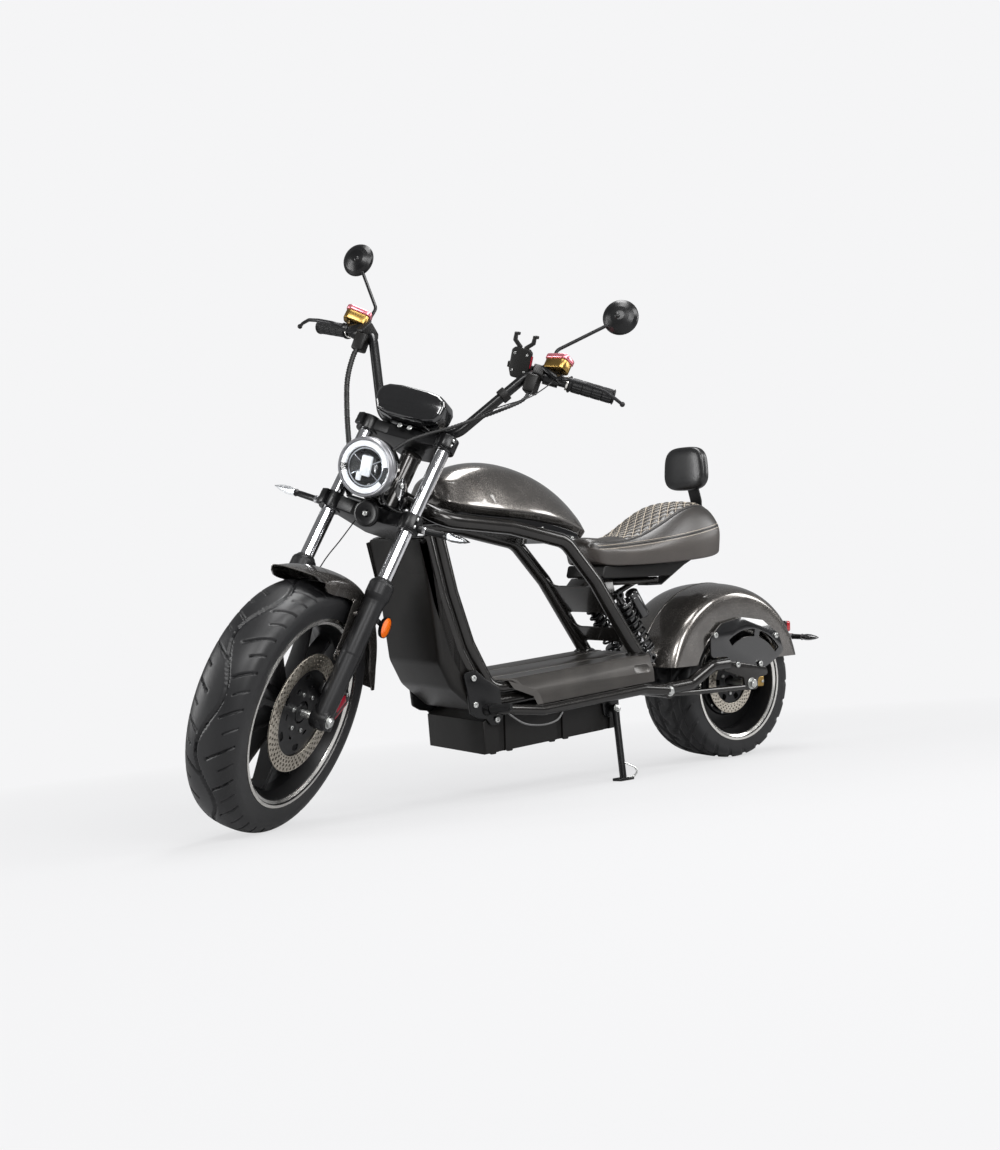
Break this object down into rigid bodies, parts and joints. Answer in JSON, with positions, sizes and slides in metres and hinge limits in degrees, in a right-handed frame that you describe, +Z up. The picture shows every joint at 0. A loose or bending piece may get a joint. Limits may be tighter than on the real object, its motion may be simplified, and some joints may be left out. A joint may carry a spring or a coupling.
{
  "type": "electric chopper scooter",
  "caption": "Low electric chopper scooter with a wide front wheel, a fat small rear hub wheel, high bars, a flat floor over its battery box and a backrest, leaning on its side stand.",
  "frame": {"origin": "bottom centre of the bounding box, on the floor that the scooter stands on", "axes": "+X forward along the parked scooter, +Y to the rider's left, +Z up"},
  "size_m": [2.1182, 0.7784, 1.5365],
  "materials": {
    "satin_grey_paint": "satin dark grey metallic",
    "gloss_grey_paint": "gloss warm grey metallic",
    "black_paint": "satin black",
    "black_plastic": "fine grained black",
    "gloss_black": "gloss black",
    "tyre_rubber": "matt black rubber",
    "wheel_black": "gloss black with machined edge",
    "disc_steel": "ground steel",
    "chrome": "hard chrome",
    "axle_steel": "plated steel",
    "seat_leather": "dark grained leathercloth",
    "red_lens": "clear red lens",
    "gold_anodised": "gold anodised"
  },
  "bodies": {
    "frame": {"upper_frame": "satin_grey_paint", "down_tubes": "satin_grey_paint", "leg_shield": "satin_grey_paint", "tank_cover": "gloss_grey_paint", "tank_tray": "gloss_black", "battery_box": "black_plastic", "floor_plate": "satin_grey_paint", "floor_rail_left": "satin_grey_paint", "floor_rail_right": "satin_grey_paint", "foot_peg_left": "black_paint", "foot_peg_right": "black_paint", "seat_cushion": "seat_leather", "seat_pan": "black_plastic", "backrest_pad": "seat_leather", "backrest_bracket": "black_paint", "seat_support": "satin_grey_paint", "swingarm": "satin_grey_paint", "rear_axle": "axle_steel", "rear_caliper": "gold_anodised", "rear_fender": "gloss_grey_paint", "fender_bracket_left": "black_paint", "fender_bracket_right": "black_paint", "shock_left": "black_paint", "shock_right": "black_paint", "tail_bracket": "black_paint", "tail_light": "red_lens", "rear_signal_left": "black_plastic", "rear_signal_right": "black_plastic", "stand_bracket": "black_paint"},
    "fork": {"lower_clamp": "black_paint", "top_clamp": "black_paint", "stanchion_left": "chrome", "stanchion_right": "chrome", "slider_left": "satin_grey_paint", "slider_right": "satin_grey_paint", "front_axle": "axle_steel", "front_caliper": "black_paint", "front_fender": "gloss_grey_paint", "headlight": "gloss_black", "handlebar": "black_paint", "brake_control_left": "black_plastic", "brake_control_right": "black_plastic", "mirror_left": "black_plastic", "mirror_right": "black_plastic", "instrument_pod": "gloss_black", "front_signal_left": "black_plastic", "front_signal_right": "black_plastic"},
    "front_wheel": {"front_tyre": "tyre_rubber", "front_rim": "wheel_black", "front_disc": "disc_steel"},
    "rear_wheel": {"rear_tyre": "tyre_rubber", "rear_rim": "wheel_black", "rear_disc": "disc_steel"},
    "stand": {"side_stand": "black_paint"}
  },
  "joints": [
    {"name": "steering", "type": "hinge", "parent": "frame", "child": "fork", "pos_m": [0.45677, -0.04541, 0.72522], "axis": [-0.5035, 0.0902, 0.8592], "range_deg": [-68.6, 0]},
    {"name": "front_wheel_spin", "type": "hinge", "parent": "fork", "child": "front_wheel", "pos_m": [0.77517, -0.04958, 0.29543], "axis": [-0.4871, 0.7918, -0.3685], "continuous": true},
    {"name": "rear_wheel_spin", "type": "hinge", "parent": "frame", "child": "rear_wheel", "pos_m": [-0.75319, -0.09736, 0.23444], "axis": [-0.0003, 0.9945, -0.1045], "continuous": true},
    {"name": "side_stand_hinge", "type": "hinge", "parent": "frame", "child": "stand", "pos_m": [-0.19531, 0.03362, 0.19232], "axis": [0.0005, 0.986, 0.1666], "range_deg": [0, 80]}
  ]
}
